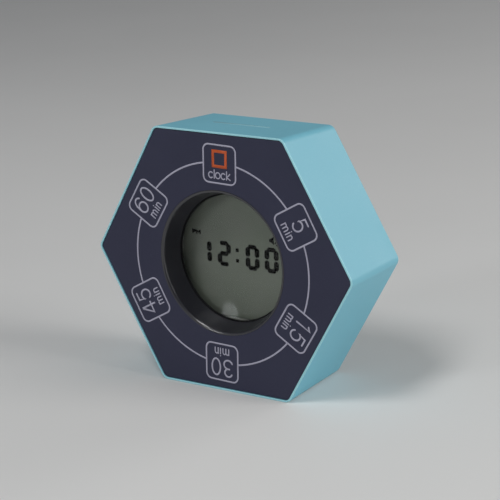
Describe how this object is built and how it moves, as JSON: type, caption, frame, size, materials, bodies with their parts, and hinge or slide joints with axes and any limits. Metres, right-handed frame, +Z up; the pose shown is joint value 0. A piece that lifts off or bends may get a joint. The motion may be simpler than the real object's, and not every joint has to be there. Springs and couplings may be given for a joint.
{
  "type": "hexagonal flip timer clock",
  "caption": "Six-sided flip timer clock with a round sunken display; it is turned onto one of its flats to choose a preset time. Keys, sound switch and battery door at the back.",
  "frame": {"origin": "centre of the bottom flat, on the surface the timer stands on", "axes": "+Z up, -Y out of the face towards the reader, +X to the reader's right"},
  "size_m": [0.0962, 0.0343, 0.0839],
  "materials": {
    "case_plastic": "pale turquoise moulded plastic, fine satin texture",
    "face_plastic": "dark navy grey satin plastic",
    "gloss_plastic": "near black navy, polished",
    "black_foam": "black closed cell foam",
    "clear_plastic": "clear polished acrylic",
    "display_glass": "greenish grey reflective liquid crystal glass",
    "white_plastic": "white moulded plastic",
    "strip_rubber": "layered elastomer strip",
    "circuit_board": "green solder mask over glass epoxy",
    "black_plastic": "black moulded plastic",
    "can_metal": "drawn metal can",
    "spring_steel": "nickel plated spring steel",
    "screw_steel": "zinc plated steel",
    "cell_sleeve": "printed sleeve over a steel can",
    "key_plastic": "off white moulded plastic",
    "red_wire": "red wire insulation",
    "black_wire": "black wire insulation",
    "grey_wire": "grey ribbon cable"
  },
  "bodies": {
    "case": {"battery_box": "black_plastic", "bezel_ring": "gloss_plastic", "board_screw_1": "screw_steel", "board_screw_2": "screw_steel", "board_screw_3": "screw_steel", "board_screw_4": "screw_steel", "box_screw_1": "screw_steel", "box_screw_2": "screw_steel", "bridge_contact": "spring_steel", "buzzer": "black_plastic", "buzzer_lead_left": "red_wire", "buzzer_lead_right": "black_wire", "capacitor": "can_metal", "case_screw_1": "screw_steel", "case_screw_2": "screw_steel", "case_screw_3": "screw_steel", "case_screw_4": "screw_steel", "cell_1": "cell_sleeve", "cell_2": "cell_sleeve", "controller_chip": "black_plastic", "crystal_can": "can_metal", "display_frame": "white_plastic", "down_switch": "black_plastic", "front_plate": "face_plastic", "key_board": "circuit_board", "key_board_screw_1": "screw_steel", "key_board_screw_2": "screw_steel", "lcd_front_glass": "display_glass", "lcd_rear_glass": "display_glass", "lcd_reflector": "white_plastic", "lens": "clear_plastic", "lens_gasket": "black_foam", "main_board": "circuit_board", "negative_contact": "spring_steel", "negative_lead": "black_wire", "positive_contact": "spring_steel", "positive_lead": "red_wire", "ribbon_cable": "grey_wire", "set_switch": "black_plastic", "shell": "case_plastic", "sound_switch_body": "can_metal", "tilt_sensor": "black_plastic", "up_switch": "black_plastic", "zebra_strip_bottom": "strip_rubber", "zebra_strip_top": "strip_rubber"},
    "set_key": {"set_button": "key_plastic", "set_plunger": "black_plastic"},
    "up_key": {"up_button": "key_plastic", "up_plunger": "black_plastic"},
    "down_key": {"down_button": "key_plastic", "down_plunger": "black_plastic"},
    "sound_knob": {"sound_switch_knob": "black_plastic"},
    "battery_cover": {"battery_door": "case_plastic"}
  },
  "joints": [
    {"name": "set_press", "type": "slide", "parent": "case", "child": "set_key", "axis": [0, -0.9992, 0.0396], "range_m": [0, 0.0005], "stiffness_N_per_m": 1200},
    {"name": "up_press", "type": "slide", "parent": "case", "child": "up_key", "axis": [0, -0.9992, 0.0396], "range_m": [0, 0.0005], "stiffness_N_per_m": 1200},
    {"name": "down_press", "type": "slide", "parent": "case", "child": "down_key", "axis": [0, -0.9992, 0.0396], "range_m": [0, 0.0005], "stiffness_N_per_m": 1200},
    {"name": "sound_slide", "type": "slide", "parent": "case", "child": "sound_knob", "axis": [1, 0, 0], "range_m": [0, 0.003]},
    {"name": "door_hinge", "type": "hinge", "parent": "case", "child": "battery_cover", "pos_m": [0, 0.01617, 0.01651], "axis": [-1, 0, 0], "range_deg": [0, 75]}
  ]
}
